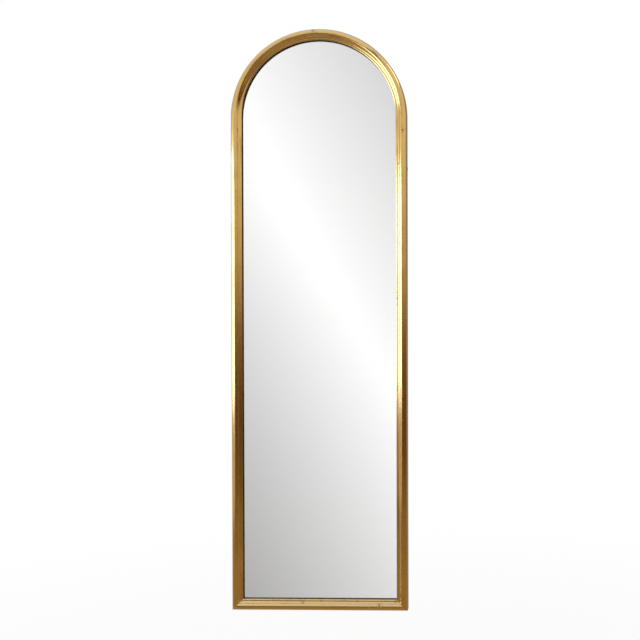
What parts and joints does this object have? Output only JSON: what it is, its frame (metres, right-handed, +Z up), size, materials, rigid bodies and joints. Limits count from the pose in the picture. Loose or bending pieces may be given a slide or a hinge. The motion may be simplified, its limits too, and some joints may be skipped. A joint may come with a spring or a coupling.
{
  "type": "arched wall mirror",
  "caption": "Tall wall mirror: plain glass in a gilt moulded frame with a semicircular top and mitred bottom corners, hung by D-rings, its backboard held in by turn buttons.",
  "frame": {"origin": "on the wall's face, halfway between the two wall hooks, at the height where the rings bear on them", "axes": "+X to the right of someone facing the mirror, +Y into the wall, +Z up; the glass faces -Y"},
  "size_m": [0.458, 0.033, 1.5],
  "materials": {
    "gilded_wood": "water-gilt gold leaf over red bole and gesso, worn",
    "beech": "planed",
    "softwood": "sawn",
    "mirror_glass": "clear float glass, ground edge",
    "silvering": "silver under grey backing paint",
    "pulp_board": "grey-brown pulp board",
    "plywood": "thin birch plywood, aged",
    "brass": "dull, handled",
    "zinc_plated_steel": "zinc plated, dulled",
    "black_rubber": "matt"
  },
  "bodies": {
    "frame": {"left_stile": "gilded_wood", "right_stile": "gilded_wood", "bottom_rail": "gilded_wood", "arch_right_lower": "gilded_wood", "arch_right_upper": "gilded_wood", "arch_left_upper": "gilded_wood", "arch_left_lower": "gilded_wood", "left_mitre_key": "beech", "right_mitre_key": "beech", "left_stile_key": "beech", "right_stile_key": "beech", "left_haunch_key": "beech", "crown_key": "beech", "right_haunch_key": "beech", "glass_wedges": "softwood", "mirror_glass": "mirror_glass", "mirror_silvering": "silvering", "backing_pad": "pulp_board", "backboard": "plywood", "turn_button_screws": "brass", "left_hanger_strap": "zinc_plated_steel", "right_hanger_strap": "zinc_plated_steel", "hanger_screws": "zinc_plated_steel", "left_bumper": "black_rubber", "right_bumper": "black_rubber", "bumper_screws": "zinc_plated_steel"},
    "left_ring": {"left_hanger_ring": "zinc_plated_steel"},
    "right_ring": {"right_hanger_ring": "zinc_plated_steel"},
    "button_bottom": {"turn_button_bottom": "brass"},
    "button_left_low": {"turn_button_left_low": "brass"},
    "button_right_low": {"turn_button_right_low": "brass"},
    "button_left_middle": {"turn_button_left_middle": "brass"},
    "button_right_middle": {"turn_button_right_middle": "brass"},
    "button_left_high": {"turn_button_left_high": "brass"},
    "button_right_high": {"turn_button_right_high": "brass"},
    "button_arch_right": {"turn_button_arch_right": "brass"},
    "button_arch_left": {"turn_button_arch_left": "brass"}
  },
  "joints": [
    {"name": "left_ring_swing", "type": "hinge", "parent": "frame", "child": "left_ring", "pos_m": [-0.2185, -0.0034, -0.01298], "axis": [-1, 0, 0], "range_deg": [0, 178.4]},
    {"name": "right_ring_swing", "type": "hinge", "parent": "frame", "child": "right_ring", "pos_m": [0.2185, -0.0034, -0.01298], "axis": [-1, 0, 0], "range_deg": [0, 178.4]},
    {"name": "bottom_button_turn", "type": "hinge", "parent": "frame", "child": "button_bottom", "pos_m": [0, -0.006, -1.1395], "axis": [0, 1, 0], "continuous": true},
    {"name": "left_low_button_turn", "type": "hinge", "parent": "frame", "child": "button_left_low", "pos_m": [-0.2185, -0.006, -1], "axis": [0, 1, 0], "continuous": true},
    {"name": "right_low_button_turn", "type": "hinge", "parent": "frame", "child": "button_right_low", "pos_m": [0.2185, -0.006, -1], "axis": [0, 1, 0], "continuous": true},
    {"name": "left_middle_button_turn", "type": "hinge", "parent": "frame", "child": "button_left_middle", "pos_m": [-0.2185, -0.006, -0.55], "axis": [0, 1, 0], "continuous": true},
    {"name": "right_middle_button_turn", "type": "hinge", "parent": "frame", "child": "button_right_middle", "pos_m": [0.2185, -0.006, -0.55], "axis": [0, 1, 0], "continuous": true},
    {"name": "left_high_button_turn", "type": "hinge", "parent": "frame", "child": "button_left_high", "pos_m": [-0.2185, -0.006, -0.1], "axis": [0, 1, 0], "continuous": true},
    {"name": "right_high_button_turn", "type": "hinge", "parent": "frame", "child": "button_right_high", "pos_m": [0.2185, -0.006, -0.1], "axis": [0, 1, 0], "continuous": true},
    {"name": "arch_right_button_turn", "type": "hinge", "parent": "frame", "child": "button_arch_right", "pos_m": [0.08362, -0.006, 0.32287], "axis": [0, 1, 0], "continuous": true},
    {"name": "arch_left_button_turn", "type": "hinge", "parent": "frame", "child": "button_arch_left", "pos_m": [-0.08362, -0.006, 0.32287], "axis": [0, 1, 0], "continuous": true}
  ]
}
